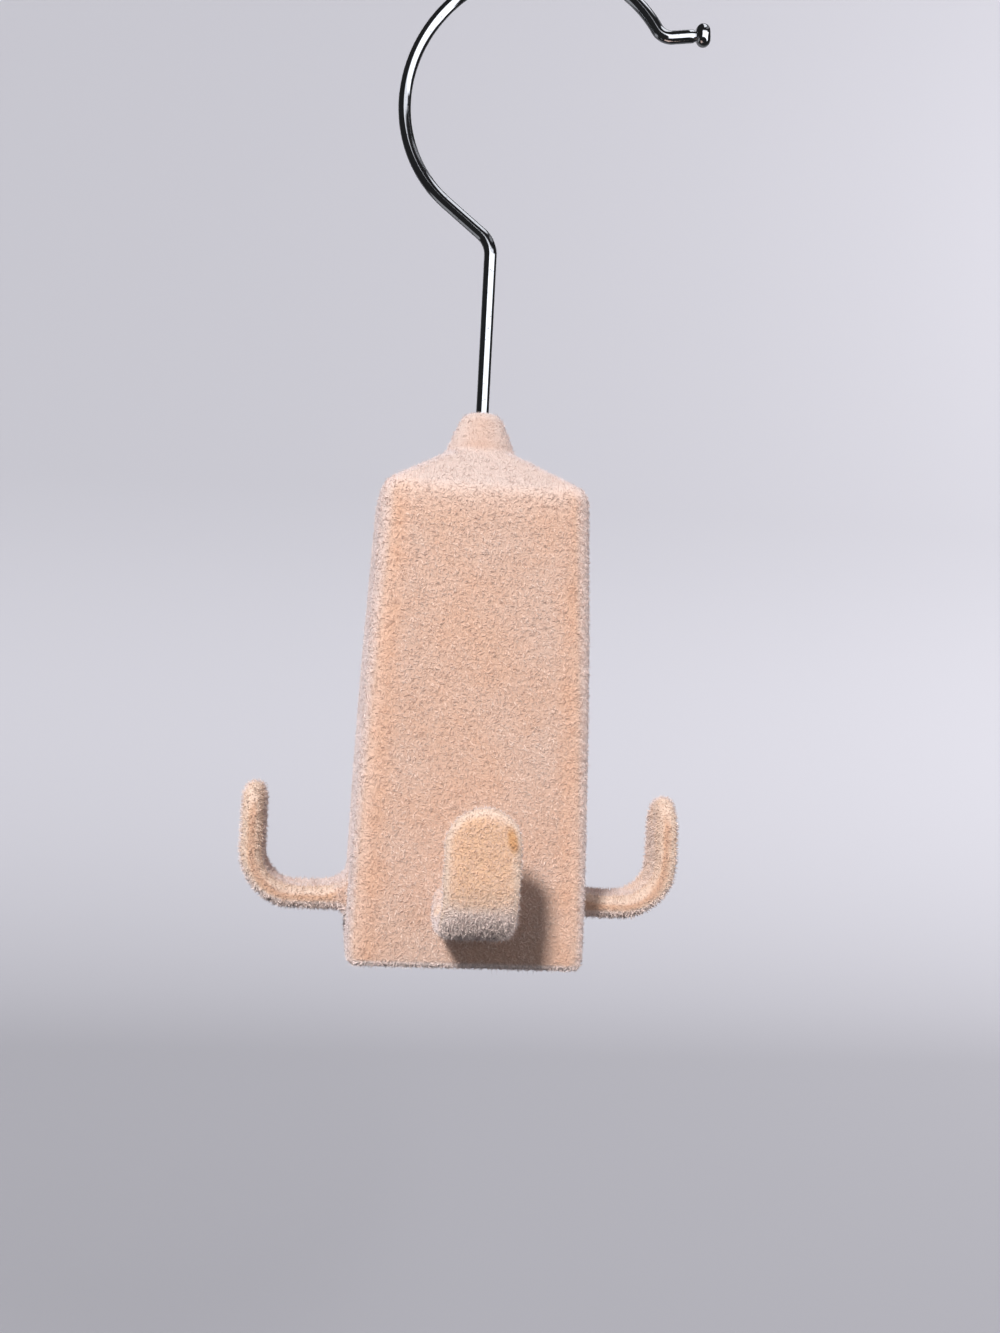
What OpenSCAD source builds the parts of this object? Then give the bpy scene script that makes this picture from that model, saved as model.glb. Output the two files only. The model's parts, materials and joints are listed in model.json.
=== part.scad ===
// Four-hook scarf hanger: a flocked pillar that swivels on a bent wire hook.
// Lengths are in millimetres. The origin is the hang point, inside the crown of the wire loop.
// Each piece is first built about the stem, with z = 0 at the underside, and then moved there.

/* [Pillar] */
// Width and depth across the flat sides at the foot
base_w = 42.2; // [38:0.1:50]
// Width and depth across the flat sides at the shoulders
eave_w = 38; // [34:0.1:42]
// Height at which the sides and the sloping roof would meet in a sharp edge
eave_z = 85.2; // [76:0.1:96]
// Slope of the four roof faces from horizontal, in degrees
roof_angle = 34; // [28:0.5:40]
// Radius of the rounded shoulders and upright edges
edge_r = 4.2; // [1.8:0.1:4.5]
// Radius of the rounded edge round the foot
foot_r = 2; // [1:0.1:2.2]
// Thickness of the side walls
wall = 2.6; // [2.4:0.1:3.2]
// Thickness of the roof, measured upright
roof_t = 3; // [2.4:0.1:3.6]

/* [Neck] */
// Height of the flat top of the neck
neck_top_z = 101.7; // [98:0.1:106]
// Radius of the neck below its rounded top
neck_top_r = 4.8; // [4.2:0.1:5.6]
// Radius of the neck above its flared foot
neck_foot_r = 6.9; // [6.2:0.1:7.6]
// Height at which the flare begins
neck_foot_z = 93.9; // [93:0.1:95.8]
// Radius of the rounding round the top of the neck
neck_round = 3.4; // [1.5:0.1:3.8]
// Radius of the hollow flare at the neck's foot
flare_r = 3.4; // [2:0.1:5]
// Radius of the boss inside, on which the washer bears
boss_r = 6.4; // [5.8:0.1:7.5]
// Height of the underside of that boss
boss_z = 84; // [80:0.1:86]
// Thickness of the four ribs that hold the boss
rib_t = 1.6; // [1:0.1:2.4]
// Depth of those ribs below the roof
rib_depth = 9; // [5:0.1:12]

/* [Wire hook] */
// Diameter of the wire
wire_d = 2.4; // [2:0.1:3]
// Angle of the hook's plane from the front face, turned about the stem, in degrees
hook_turn = -15; // [-90:1:90]
// Height at which the straight stem ends
stem_top_z = 131.6; // [120:0.1:145]
// Centreline radius of the elbow
elbow_r = 5.6; // [4:0.1:8]
// Turn of the elbow, in degrees
elbow_turn = 50; // [45:1:70]
// Straight length above the elbow
slant_len = 9.2; // [0.5:0.1:12]
// Centreline radius of the lower side of the loop
flank_r = 25.7; // [22:0.1:32]
// Centreline radius of the crown of the loop
crown_r = 25.7; // [20:0.1:30]
// Turn of the crown, from the upright flank to the bend at the tip, in degrees
crown_turn = 149; // [135:1:160]
// Centreline radius of the bend at the tip
tip_bend_r = 3.4; // [2.4:0.1:6]
// Rise of the tip above level, in degrees
tip_rise = 3; // [0:0.5:15]
// Straight length beyond that bend
tip_len = 4.2; // [2:0.1:8]
// Radius of the button head at the tip
button_r = 2.1; // [1.8:0.05:2.6]
// Length of the button head
button_len = 2.7; // [2:0.1:3.4]

/* [Swivel] */
// Radial clearance of the wire in the neck
stem_clear = 0.08; // [0.02:0.01:0.1]
// Radius of the upset head under the washer
head_r = 2.4; // [2:0.1:3]
// Height of that head
head_h = 1.7; // [1.2:0.1:2.6]
// Radius of the washer
washer_r = 4.6; // [3.8:0.1:5.4]
// Thickness of the washer
washer_t = 0.8; // [0.5:0.1:1.2]
// Gap between the washer and the boss above it
washer_gap = 0.15; // [0.1:0.01:0.3]

/* [Strap hooks] */
// Reach from the stem's axis to the outer face of a hook
hook_reach = 41; // [37:0.1:46]
// Width of the strap
strap_w = 13.2; // [10:0.1:16]
// Thickness of the strap
strap_t = 4.6; // [3:0.1:5.4]
// Rounding of the strap's edges
strap_round = 1.8; // [0.4:0.1:2.2]
// Height of the tip of a hook
hook_tip_z = 30.5; // [28:0.1:36]
// Height of the underside of a hook
hook_low_z = 7.3; // [6:0.1:10]
// Outer radius of the bend
hook_bend_r = 10.6; // [8.5:0.1:12]
// Radius of the fillet above the root
root_top_r = 6; // [2:0.1:7]
// Radius of the fillet below the root
root_low_r = 2.6; // [1:0.1:4]
// Gap between a root and the wall that it sits on
root_gap = 0.02; // [0.01:0.01:0.1]
// Width of the tang that goes through the wall
tang_w = 9; // [6:0.1:10]
// Thickness of the tang
tang_t = 2.4; // [1.8:0.1:2.8]
// Length of the tang inside the wall
tang_len = 7.6; // [6.5:0.1:9]
// Clearance round the tang in its slot
slot_clear = 0.1; // [0.05:0.01:0.2]

/* [Bottom cap] */
// Thickness of the cap's plate
cap_t = 2; // [1.6:0.1:3]
// Clearance between the cap and the shell's mouth
cap_clear = 0.12; // [0.08:0.01:0.3]
// Height of the rim that stands on the plate
rim_h = 2.6; // [1.5:0.1:4]
// Thickness of that rim
rim_t = 1.4; // [1:0.1:2]
// Diameter of a locking peg
peg_d = 2.6; // [2:0.1:3.2]
// Clearance round a peg in its tang, on the radius
peg_clear = 0.1; // [0.05:0.01:0.2]
// Distance of a peg from the inside of the wall
peg_inset = 4.2; // [3:0.1:5]
// Length of a peg above its tang
peg_over = 1.6; // [0.5:0.1:3]

/* [Hidden] */
peach = [0.90, 0.75, 0.64];
chrome = [0.80, 0.82, 0.85];
zinc = [0.62, 0.63, 0.65];
// Faces round a circle, and round the spheres inside a hull
round_fn = 64;
ball_fn = 32;
// Steps along an arc of the neck's profile
arc_steps = 6;
// Thickness of the discs that only shape a hull
thin = 0.01;
// Depth to which a root is drawn past the wall's face before it is trimmed there
root_sink = 2;
// Reach and depth of the neck's skirt under the roof
skirt_reach = 2;
skirt_sink = 1;
// Length and overhang of the collar at each joint of the wire, and the gap that it bridges on each side
lap_len = 0.3;
lap_over = 0.02;
lap_gap = 0.05;

// Pillar
draft = atan((base_w - eave_w) / 2 / (eave_z - foot_r));
eave_ball_z = eave_z - edge_r * (1 - sin(roof_angle)) / cos(roof_angle);
roof_flat_r = neck_foot_r - edge_r / 2;
roof_flat_z = eave_z + (eave_w / 2 - roof_flat_r) * tan(roof_angle);
inner_r = max(0.6, edge_r - wall);
mouth_w = base_w - 2 * wall;

// Half the width across the flat sides at height z
function half_w(z) = base_w / 2 - (z - foot_r) * tan(draft);

// Stem and swivel
bore_r = wire_d / 2 + stem_clear;
washer_z = boss_z - washer_gap - washer_t;
head_z = washer_z - head_h;
stem_len = stem_top_z - washer_z + head_h / 2;

// Crown of the loop, in the hook's own plane and then about the stem
elbow_a = -elbow_r * (1 - cos(elbow_turn)) - slant_len * sin(elbow_turn);
crown_a = elbow_a + flank_r * (cos(elbow_turn) - 1) + crown_r;
crown_centre_z = stem_top_z + (elbow_r + flank_r) * sin(elbow_turn) + slant_len * cos(elbow_turn);
hang_x = crown_a * cos(hook_turn);
hang_y = crown_a * sin(hook_turn);
hang_z = crown_centre_z + crown_r - wire_d / 2;

// Strap hooks, whose edge rounding is limited by the strap's thickness
edge_round = min(strap_round, strap_t / 2 - 0.05);
bend_mid_r = hook_bend_r - strap_t / 2;
bend_x = hook_reach - hook_bend_r;
bend_z = hook_low_z + hook_bend_r;
tip_z = hook_tip_z - strap_w / 2;
strap_mid_z = hook_low_z + strap_t / 2;
root_x = half_w(strap_mid_z) + root_gap;
fillet_w = strap_w - 2 * edge_round;
inside_x = half_w(strap_mid_z) - wall;
peg_x = inside_x - peg_inset;
peg_top_z = strap_mid_z + tang_t / 2 + peg_over;

// Moves a piece from the stem's frame to the hang point
module at_hang_point() {
    translate([-hang_x, -hang_y, -hang_z]) children();
}

// Four copies round the stem, one for each face
module each_face() {
    for (turn = [0 : 90 : 270]) rotate([0, 0, turn]) children();
}

// Four copies, one in each corner of a square of the given half width
module each_corner(half) {
    for (x = [-half, half], y = [-half, half]) translate([x, y, 0]) children();
}

// Square with rounded corners, centred
module round_square(w, d, r) {
    square([w - 2 * r, d], center = true);
    square([w, d - 2 * r], center = true);
    for (x = [-1, 1], y = [-1, 1])
        translate([x * (w / 2 - r), y * (d / 2 - r)]) circle(r, $fn = round_fn);
}

// Outer form of the pillar below the neck
module pillar() {
    hull() {
        each_corner(base_w / 2 - foot_r) translate([0, 0, foot_r]) sphere(foot_r, $fn = ball_fn);
        each_corner(eave_w / 2 - edge_r) translate([0, 0, eave_ball_z]) sphere(edge_r, $fn = ball_fn);
        translate([0, 0, roof_flat_z - thin]) cylinder(thin, r = roof_flat_r, $fn = ball_fn);
    }
}

// Hollow of the pillar, open at the foot
module pillar_hollow() {
    low = -1;
    hull() {
        each_corner(half_w(low) - wall - inner_r) translate([0, 0, low]) cylinder(thin, r = inner_r, $fn = ball_fn);
        each_corner(eave_w / 2 - wall - inner_r)
            translate([0, 0, eave_ball_z - roof_t]) sphere(inner_r, $fn = ball_fn);
        translate([0, 0, roof_flat_z - roof_t - thin]) cylinder(thin, r = roof_flat_r, $fn = ball_fn);
    }
}

// Points along an arc, from one angle to another
function arc(x, z, r, from, to) =
    [for (i = [0 : arc_steps]) let (t = from + (to - from) * i / arc_steps) [x + r * cos(t), z + r * sin(t)]];

// Bell-shaped neck: a rounded top, a leaning flank and a hollow flare into the roof
module neck() {
    lean = atan((neck_foot_r - neck_top_r) / (neck_top_z - neck_round - neck_foot_z));
    top_x = neck_top_r - neck_round * cos(lean);
    top_z = neck_top_z - neck_round;
    flare_x = neck_foot_r + flare_r * cos(lean);
    flare_z = neck_foot_z + flare_r * sin(lean);
    skirt = arc(flare_x, flare_z, flare_r, 180 + lean, 270 - roof_angle);
    last = skirt[arc_steps];
    rotate_extrude($fn = round_fn) polygon(concat(
        [[0, boss_z], [0, neck_top_z]],
        arc(top_x, top_z, neck_round, 90, lean),
        skirt,
        [[last.x + skirt_reach, last.y - skirt_reach * tan(roof_angle) - skirt_sink], [boss_r, boss_z]]
    ));
}

// One rib from the boss out under the roof
module boss_rib() {
    translate([0, -rib_t / 2, roof_flat_z - roof_t - rib_depth]) cube([eave_w / 2 - wall / 2, rib_t, rib_depth]);
}

// Slot in the wall for a tang
module tang_slot() {
    w = tang_w + 2 * slot_clear;
    t = tang_t + 2 * slot_clear;
    translate([inside_x - wall, -w / 2, strap_mid_z - t / 2]) cube([3 * wall, w, t]);
}

module body_shell() {
    color(peach) at_hang_point() difference() {
        union() {
            difference() {
                pillar();
                pillar_hollow();
            }
            neck();
            intersection() {
                pillar();
                union() {
                    translate([0, 0, boss_z]) cylinder(neck_foot_z - boss_z, r = boss_r, $fn = round_fn);
                    each_face() boss_rib();
                }
            }
        }
        translate([0, 0, boss_z - rib_depth]) cylinder(neck_top_z, r = bore_r, $fn = round_fn);
        translate([0, 0, boss_z - 2 * rib_depth]) cylinder(2 * rib_depth, r = boss_r - 0.01, $fn = round_fn);
        each_face() tang_slot();
    }
}

module stem_washer() {
    color(zinc) at_hang_point() translate([0, 0, washer_z]) difference() {
        cylinder(washer_t, r = washer_r, $fn = round_fn);
        translate([0, 0, -1]) cylinder(washer_t + 2, r = bore_r, $fn = round_fn);
    }
}

// Collar, thinner than a hair, that laps two neighbouring lengths of wire
module lap() {
    translate([0, 0, -lap_len / 2]) cylinder(lap_len, r = wire_d / 2 + lap_over, $fn = round_fn);
    children();
}

// Straight length of wire, then the rest of the path
module run(len) {
    translate([0, 0, lap_gap]) cylinder(len - 2 * lap_gap, d = wire_d, $fn = round_fn);
    translate([0, 0, len]) lap() children();
}

// Bend of the wire towards local -X for a positive turn and +X for a negative one
module bend(r, turn) {
    side = turn > 0 ? -1 : 1;
    short = lap_gap / r * 180 / PI;
    start = (turn > 0 ? 0 : 180 + turn) + short;
    translate([side * r, 0, 0]) {
        rotate([90, 0, 0]) rotate([0, 0, start]) rotate_extrude(angle = abs(turn) - 2 * short, $fn = round_fn)
            translate([r, 0]) circle(d = wire_d, $fn = round_fn);
        rotate([0, -turn, 0]) translate([-side * r, 0, 0]) lap() children();
    }
}

// Button head, upset from the wire's end, with a shallow neck behind it
module button() {
    round_r = button_len / 2;
    rotate_extrude($fn = round_fn) intersection() {
        union() {
            square([button_r - round_r, button_len]);
            translate([button_r - round_r, round_r]) circle(round_r, $fn = round_fn);
        }
        square([button_r, button_len]);
    }
}

module hook_wire() {
    color(chrome) at_hang_point() {
        translate([0, 0, head_z]) cylinder(head_h, r = head_r, $fn = round_fn);
        translate([0, 0, washer_z - head_h / 2]) rotate([0, 0, hook_turn])
            run(stem_len) bend(elbow_r, elbow_turn)
            run(slant_len) bend(flank_r, -elbow_turn)
            bend(crown_r, -crown_turn) bend(tip_bend_r, crown_turn - 90 + tip_rise)
            run(tip_len) button();
    }
}

// Section of the strap
module strap_section() {
    round_square(strap_t, strap_w, edge_round);
}

// Half disc with rounded edges that ends the strap
module strap_tip() {
    rotate([0, 90, 0]) rotate([0, 0, 90]) rotate_extrude(angle = 180, $fn = round_fn) intersection() {
        rotate(90) strap_section();
        translate([0, -strap_t]) square([strap_w, 2 * strap_t]);
    }
}

// Fillet in the corner between the strap and the wall, seen from the strap's edge
module root_fillet(r) {
    rotate([90, 0, 0]) linear_extrude(fillet_w, center = true) difference() {
        translate([-r, -edge_round]) square([2 * r, r + edge_round]);
        translate([r, r]) circle(r, $fn = round_fn);
    }
}

// Everything outside the pillar's wall, on the side given by +X
module outside_wall() {
    translate([root_x, 0, strap_mid_z]) rotate([0, -draft, 0])
        translate([0, -strap_w, -hook_tip_z]) cube([hook_reach, 2 * strap_w, 2 * hook_tip_z]);
}

module tang() {
    end_x = inside_x - tang_len;
    difference() {
        translate([end_x, -tang_w / 2, strap_mid_z - tang_t / 2]) cube([root_x + strap_t - end_x, tang_w, tang_t]);
        translate([peg_x, 0, 0]) cylinder(hook_tip_z, r = peg_d / 2 + peg_clear, $fn = round_fn);
    }
}

// One strap hook on the side given by +X
module strap_hook() {
    intersection() {
        union() {
            translate([hook_reach - strap_t / 2, 0, tip_z]) strap_tip();
            translate([hook_reach - strap_t / 2, 0, bend_z]) linear_extrude(tip_z - bend_z) strap_section();
            translate([bend_x, 0, bend_z]) rotate([90, 0, 0]) rotate([0, 0, -90])
                rotate_extrude(angle = 90, $fn = round_fn) translate([bend_mid_r, 0]) strap_section();
            translate([root_x - root_sink, 0, strap_mid_z]) rotate([0, 90, 0])
                linear_extrude(bend_x - root_x + root_sink) strap_section();
            translate([root_x, 0, hook_low_z + strap_t]) root_fillet(root_top_r);
            translate([root_x, 0, hook_low_z]) mirror([0, 0, 1]) root_fillet(root_low_r);
        }
        outside_wall();
    }
    tang();
}

module hook_on_face(turn) {
    color(peach) at_hang_point() rotate([0, 0, turn]) strap_hook();
}

module right_hook() {
    hook_on_face(0);
}

module rear_hook() {
    hook_on_face(90);
}

module left_hook() {
    hook_on_face(180);
}

module front_hook() {
    hook_on_face(270);
}

module bottom_cap() {
    cap_w = mouth_w - 2 * cap_clear;
    rim_w = cap_w - 2 * rim_h * tan(draft) - 2 * cap_clear;
    color(peach) at_hang_point() {
        linear_extrude(cap_t) round_square(cap_w, cap_w, inner_r);
        translate([0, 0, cap_t]) linear_extrude(rim_h) difference() {
            round_square(rim_w, rim_w, inner_r);
            round_square(rim_w - 2 * rim_t, rim_w - 2 * rim_t, inner_r);
        }
        each_face() translate([peg_x, 0, cap_t]) cylinder(peg_top_z - cap_t, d = peg_d, $fn = round_fn);
    }
}

hook_wire();
stem_washer();
body_shell();
bottom_cap();
front_hook();
right_hook();
rear_hook();
left_hook();
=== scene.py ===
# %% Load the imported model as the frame
import json
import math
import bpy
import numpy as np
from mathutils import Matrix, Vector, noise


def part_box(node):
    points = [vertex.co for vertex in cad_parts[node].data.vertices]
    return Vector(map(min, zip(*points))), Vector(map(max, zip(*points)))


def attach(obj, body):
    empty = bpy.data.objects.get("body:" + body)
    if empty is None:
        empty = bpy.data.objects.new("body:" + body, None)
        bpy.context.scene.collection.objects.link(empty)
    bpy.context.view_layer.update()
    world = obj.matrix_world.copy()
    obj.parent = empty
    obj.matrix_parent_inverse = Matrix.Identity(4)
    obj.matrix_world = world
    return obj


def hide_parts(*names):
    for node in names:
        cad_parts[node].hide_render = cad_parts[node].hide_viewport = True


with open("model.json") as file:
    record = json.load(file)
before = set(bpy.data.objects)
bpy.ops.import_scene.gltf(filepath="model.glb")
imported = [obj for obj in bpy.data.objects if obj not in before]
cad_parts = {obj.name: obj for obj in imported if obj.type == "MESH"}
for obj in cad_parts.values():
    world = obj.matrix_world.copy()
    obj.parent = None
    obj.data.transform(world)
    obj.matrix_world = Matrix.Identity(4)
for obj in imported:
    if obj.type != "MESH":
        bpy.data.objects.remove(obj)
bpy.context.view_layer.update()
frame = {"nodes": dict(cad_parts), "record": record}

MM = 0.001

# %% [markdown]
# The object is a scarf hanger. A square pillar with four strap hooks turns on a bent wire hook.
# The frame's origin is the hang point inside the wire loop, so everything else lies below it.
# It is easier to think about the stem, the straight part of the wire: all sizes below are in
# millimetres from the foot of the pillar, and one function moves them into the frame in metres.

# %% Sizes of the solids, in millimetres about the stem
swivel = next(j for j in frame["record"]["behaviour"]["joints"] if j["name"] == "swivel")
STEM_AT = np.array([swivel["pos_m"][0], swivel["pos_m"][1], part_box("body_shell")[0][2]]) / MM
print("foot of the stem's axis, in millimetres:", STEM_AT.round(3))

BASE_HALF, EAVE_HALF = 21.1, 19.0
FOOT_R, EDGE_R, WALL = 2.0, 4.2, 2.6
ROOF_DEGREES = 34
ROOF_ANGLE = math.radians(ROOF_DEGREES)
EAVE_Z = 85.2
NECK_TOP_Z, NECK_TOP_R, NECK_FOOT_R, NECK_FOOT_Z = 101.7, 4.8, 6.9, 93.9
NECK_ROUND, FLARE_R = 3.4, 3.4
WIRE_R, BORE_R = 1.2, 1.28
BOSS_Z, BOSS_R, CAP_T = 84.0, 6.4, 2.0
PILE, BULGE = 0.42, 0.4


def to_frame(points):
    """Points about the stem in millimetres, as metres in the frame."""
    return (np.asarray(points, float) + STEM_AT) * MM


def new_object(name, data):
    """An object in the scene for a mesh, a light or a camera."""
    made = bpy.data.objects.new(name, data)
    bpy.context.scene.collection.objects.link(made)
    return made


def new_mesh(name, points, faces):
    """A smooth mesh object from points about the stem, with its place in its mesh."""
    mesh = bpy.data.meshes.new(name)
    mesh.from_pydata([tuple(p) for p in to_frame(points)], [], [tuple(f) for f in faces])
    mesh.validate()
    mesh.shade_smooth()
    return new_object(name, mesh)


# %% [markdown]
# The camera stands where the photograph was taken. It was found by fitting the pillar's edges:
# the pillar is turned 6.9 degrees, and it leans 2.9 degrees because the crown of the loop isn't
# straight above the centre of mass. The part stays upright in the frame, so the camera leans.

# %% The camera
VIEW_YAW, VIEW_PITCH, VIEW_ROLL = (math.radians(a) for a in (6.93, -1.03, 2.90))
PHOTO_WIDTH, FOCAL_PX, PX_PER_MM = 1000, 1362.0, 5.3
VIEW_OFFSET_PX = Vector((-44.97, FOCAL_PX, -282.5))
SENSOR = 36.0

turn = (Matrix.Rotation(VIEW_ROLL, 3, "Y") @ Matrix.Rotation(VIEW_PITCH, 3, "X")
        @ Matrix.Rotation(VIEW_YAW, 3, "Z"))
eye = -(turn.transposed() @ VIEW_OFFSET_PX) / PX_PER_MM
right, forward, up = turn[0], turn[1], turn[2]
camera_data = bpy.data.cameras.new("camera")
camera = new_object("camera", camera_data)
basis = Matrix((right, up, -forward)).transposed().to_4x4()
camera.matrix_world = Matrix.Translation(Vector(to_frame([eye])[0])) @ basis
camera_data.sensor_fit = "HORIZONTAL"
camera_data.sensor_width = SENSOR
camera_data.lens = SENSOR * FOCAL_PX / PHOTO_WIDTH
camera_data.clip_start = 0.01
bpy.context.scene.camera = camera
print("camera", [round(v, 4) for v in camera.location], "lens", round(camera_data.lens, 2))

# %% [markdown]
# Small helpers build node trees. `add` makes a node and fills its sockets by name or number:
# a value is set, and a socket of another node is linked. With them a material reads from top
# to bottom like a recipe.

# %% Node helpers


def add(tree, kind, **inputs):
    """A node of a kind; an input is a value or another node's output socket."""
    node = tree.nodes.new(kind)
    for key, value in inputs.items():
        if key.startswith("set_"):
            setattr(node, key[4:], value)
    for key, value in inputs.items():
        if key.startswith("set_"):
            continue
        numbered = key[1:].isdigit()
        socket = node.inputs[int(key[1:]) if numbered else key.replace("_", " ")]
        if isinstance(value, bpy.types.NodeSocket):
            tree.links.new(value, socket)
        else:
            socket.default_value = value
    return node


def maths(tree, operation, a, b=0.0, c=0.0):
    """A Math node's value."""
    return add(tree, "ShaderNodeMath", set_operation=operation, i0=a, i1=b, i2=c).outputs[0]


def times(tree, a, b):
    """The product of two values."""
    return maths(tree, "MULTIPLY", a, b)


def ramp(tree, value, low, high, to_low=0.0, to_high=1.0):
    """A smooth step of a value from one range to another."""
    return add(tree, "ShaderNodeMapRange", set_interpolation_type="SMOOTHSTEP", Value=value,
               From_Min=low, From_Max=high, To_Min=to_low, To_Max=to_high).outputs[0]


def mix(tree, factor, a, b):
    """A mix of two colours."""
    return add(tree, "ShaderNodeMix", set_data_type="RGBA", i0=factor, i6=a, i7=b).outputs[2]


def layer(tree, body, *masks, colour):
    """A colour laid over another one, as far as all the masks together let it."""
    cover = masks[0]
    for mask in masks[1:]:
        cover = times(tree, cover, mask)
    return mix(tree, cover, body, colour)


def srgb(r, g, b):
    """A colour as a screen shows it, 0 to 255, made linear as Blender wants it."""
    def linear(v):
        v /= 255
        return v / 12.92 if v <= 0.04045 else ((v + 0.055) / 1.055) ** 2.4
    return (linear(r), linear(g), linear(b), 1.0)


def new_material(name, **values):
    """A material with its tree and its Principled shader, whose own sockets take the plain values."""
    material = bpy.data.materials.new(name)
    material.use_nodes = True
    tree = material.node_tree
    shader = tree.nodes["Principled BSDF"]
    for socket, value in values.items():
        shader.inputs[socket.replace("_", " ")].default_value = value
    return material, tree, shader


def new_group(name, kind, inputs, outputs):
    """A node group with named sockets, and its input and output nodes."""
    group = bpy.data.node_groups.new(name, kind + "NodeTree")
    for socket, sort, *given in inputs:
        made = group.interface.new_socket(socket, in_out="INPUT", socket_type="NodeSocket" + sort)
        if given:
            made.default_value = given[0]
    for socket, sort in outputs:
        group.interface.new_socket(socket, in_out="OUTPUT", socket_type="NodeSocket" + sort)
    return group, group.nodes.new("NodeGroupInput"), group.nodes.new("NodeGroupOutput")


# %% [markdown]
# Flock is a coat of very short fibres, shot upright into wet glue. Two things make it look like
# velvet. Seen straight on, light sinks between the fibres and comes back warmer and deeper. Seen
# from the side, the fibres' flanks face the eye, and the surface turns pale. The nap is also
# pushed about a little, so the tone changes in worm-like strokes about a millimetre long, and in
# softer clouds and patches. One node group makes masks of those patterns and of a few places,
# such as the borders of the faces, the neck and the strap hooks. The moulded skin and the fibres
# both read it, so that they agree.

# %% A shader group for the nap
# Name, scale, detail, roughness, distortion, and the stretch of the noise that becomes 0 to 1
NAP_PATTERNS = (("Clouds", 120.0, 3.0, 0.55, 0.0, 0.30, 0.70),
                ("Strokes", 1050.0, 1.5, 0.5, 2.2, 0.38, 0.66),
                ("Specks", 2600.0, 1.0, 0.5, 0.0, 0.25, 0.75),
                ("Patches", 55.0, 2.0, 0.5, 0.0, 0.36, 0.64),
                ("Flecks", 1300.0, 1.5, 0.5, 1.0, 0.54, 0.64))
NAP_PLACES = ("Border", "Hooks", "Inward", "Neck", "Rim")
# Where each place starts and is whole: shares of the half width, and millimetres
BORDER_SHARES, RIM_SHARES = (0.58, 0.9), (0.78, 1.0)
HOOKS_FROM, EAVE_FROM, NECK_FROM = (22.0, 24.5), (78.5, 86.0), (91.0, 94.5)


def nap_places(group, place, normal):
    """Masks of the places on the hanger where the flock looks different."""
    axis = add(group, "ShaderNodeMapping", Vector=place, Location=tuple(-STEM_AT * MM)).outputs[0]
    about = add(group, "ShaderNodeSeparateXYZ", Vector=axis)
    height = about.outputs[2]
    out_x, out_y = (maths(group, "ABSOLUTE", about.outputs[k]) for k in (0, 1))
    half = maths(group, "MULTIPLY_ADD", height, (EAVE_HALF - BASE_HALF) / EAVE_Z, BASE_HALF * MM)
    across = maths(group, "DIVIDE", maths(group, "MINIMUM", out_x, out_y), half)
    reach = maths(group, "MAXIMUM", out_x, out_y)
    hooks_from, eave_from, neck_from = ([v * MM for v in pair] for pair in (HOOKS_FROM, EAVE_FROM, NECK_FROM))
    level = add(group, "ShaderNodeVectorMath", set_operation="MULTIPLY", i0=axis, i1=(-1.0, -1.0, 0.0))
    home = add(group, "ShaderNodeVectorMath", set_operation="NORMALIZE", i0=level.outputs[0])
    inward = add(group, "ShaderNodeVectorMath", set_operation="DOT_PRODUCT", i0=home.outputs[0], i1=normal)
    neck = ramp(group, height, *neck_from)
    eave = maths(group, "SUBTRACT", ramp(group, height, *eave_from), neck)
    rim = maths(group, "MAXIMUM", ramp(group, across, *RIM_SHARES), eave)
    border = ramp(group, across, *BORDER_SHARES)
    return border, ramp(group, reach, *hooks_from), inward.outputs["Value"], neck, rim


def nap_group():
    """A group that puts out the nap's patterns and places as masks."""
    scales = [(name + " Scale", "Float", scale) for name, scale, *_ in NAP_PATTERNS]
    masks = [(name, "Float") for name in [pattern[0] for pattern in NAP_PATTERNS] + list(NAP_PLACES)]
    group, start, end = new_group("nap", "Shader", scales + [("Normal", "Vector")], masks)
    place = group.nodes.new("ShaderNodeTexCoord").outputs["Object"]
    for name, _, detail, roughness, distortion, low, high in NAP_PATTERNS:
        texture = add(group, "ShaderNodeTexNoise", Vector=place, Scale=start.outputs[name + " Scale"],
                      Detail=detail, Roughness=roughness, Distortion=distortion)
        group.links.new(ramp(group, texture.outputs["Fac"], low, high), end.inputs[name])
    for name, mask in zip(NAP_PLACES, nap_places(group, place, start.outputs["Normal"])):
        group.links.new(mask, end.inputs[name])
    return group


NAP = nap_group()
print("nap:", ", ".join(socket.name for socket in NAP.interface.items_tree if socket.in_out == "OUTPUT"))

# %% [markdown]
# The two flock materials share their colours. Each colour is laid over the ones before it, as far
# as a mask lets it, in the way a painter glazes: first the nap's own strokes and clouds, with
# painted shade between the fibres, then the places, with painted shade on the neck, then the
# painted sheen that changes with the angle of view. On the strap hooks the inner sides are painted
# pale as if lit by light thrown back from the pillar, the upper sides painted pale as if lit from
# above, the narrow edges are deeper with painted shade, and dark flecks of painted shade show on
# the hidden sides.

# %% The colours of the flock
PEACH_DEEP = srgb(225, 195, 178)
PEACH = srgb(236, 213, 201)
PEACH_PALE = srgb(238, 223, 215)
# Painted shade: the deep colour of the gaps between the fibres, where light sinks in
PEACH_PAINTED_SHADE = srgb(196, 161, 143)
PEACH_WARM = srgb(222, 179, 152)
PEACH_STRAP = srgb(226, 188, 156)
# Painted shade on the neck, for the shadow that its nap would throw
PEACH_NECK_SHADE = srgb(197, 163, 145)
# Painted sheen near the pillar's corners and along the eave
PEACH_BORDER_SHEEN = srgb(234, 211, 200)
# Painted sheen at the outline
PEACH_RIM_SHEEN = srgb(222, 211, 212)
# Painted sheen on the undersides
PEACH_BELOW_SHEEN = srgb(246, 231, 227)
# Painted sheen: the pale of the fibres' flanks seen from the side, on the pillar and the hooks
PEACH_GRAZING_SHEEN = srgb(218, 201, 195)
STRAP_GRAZING_SHEEN = srgb(226, 205, 190)
# Painted shade: dark flecks between the fibres on the hooks' shaded sides
FLECK_SHADE = srgb(96, 74, 70)
WORN = srgb(206, 154, 100)
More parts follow.
